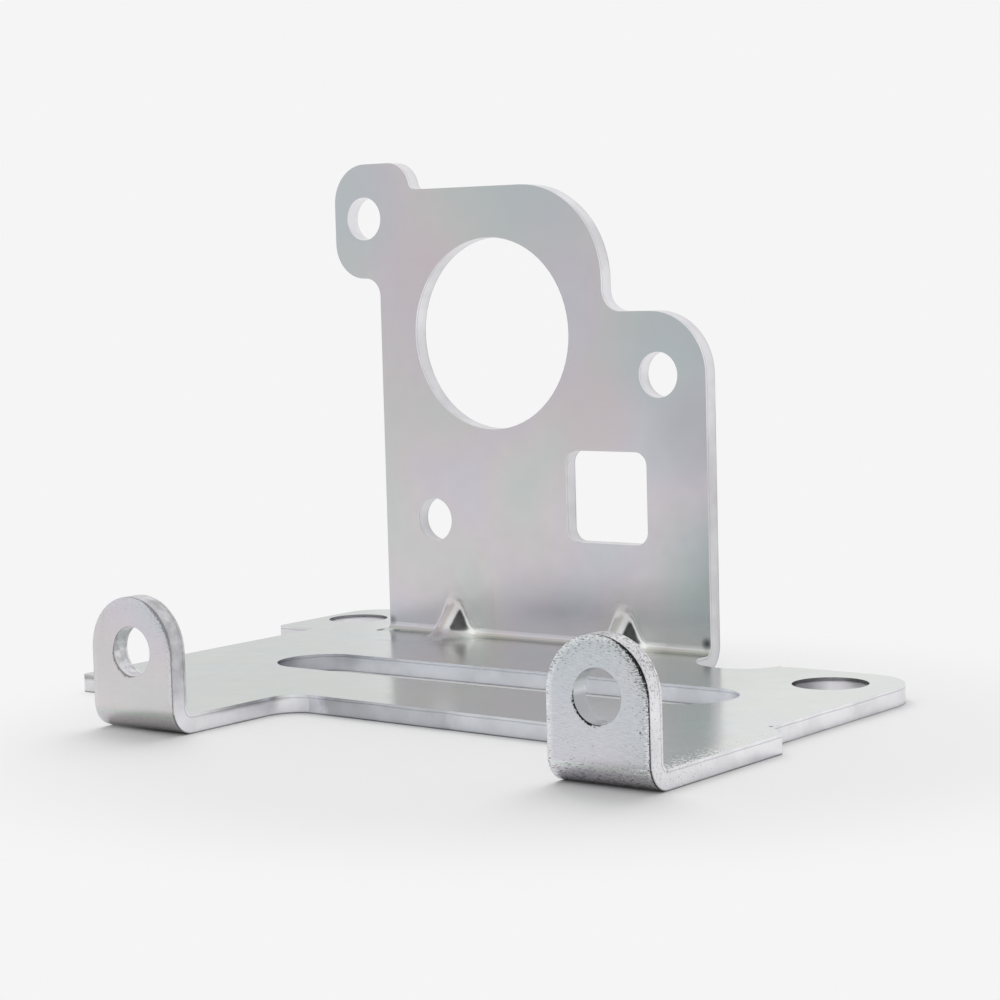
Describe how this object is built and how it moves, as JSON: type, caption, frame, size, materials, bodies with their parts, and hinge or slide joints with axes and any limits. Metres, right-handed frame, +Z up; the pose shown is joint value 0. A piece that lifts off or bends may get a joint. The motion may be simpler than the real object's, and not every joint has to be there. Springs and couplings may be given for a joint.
{
  "type": "folded sheet steel mounting bracket",
  "caption": "Folded sheet steel bracket: slotted base plate, tall back plate with openings, and round-topped ears on the front arms.",
  "frame": {"origin": "on the underside of the base plate, midway between the two ears, in the middle of the front web", "axes": "+X to the right along the fold of the back plate, +Y to the rear, from the ears to the back plate, +Z up, away from the underside"},
  "size_m": [0.0946, 0.0748, 0.0597],
  "materials": {
    "zinc_plated_steel": "bright zinc plating over cold-rolled sheet steel, with paler sheared edges"
  },
  "bodies": {
    "root": {"bracket": "zinc_plated_steel"}
  },
  "joints": []
}
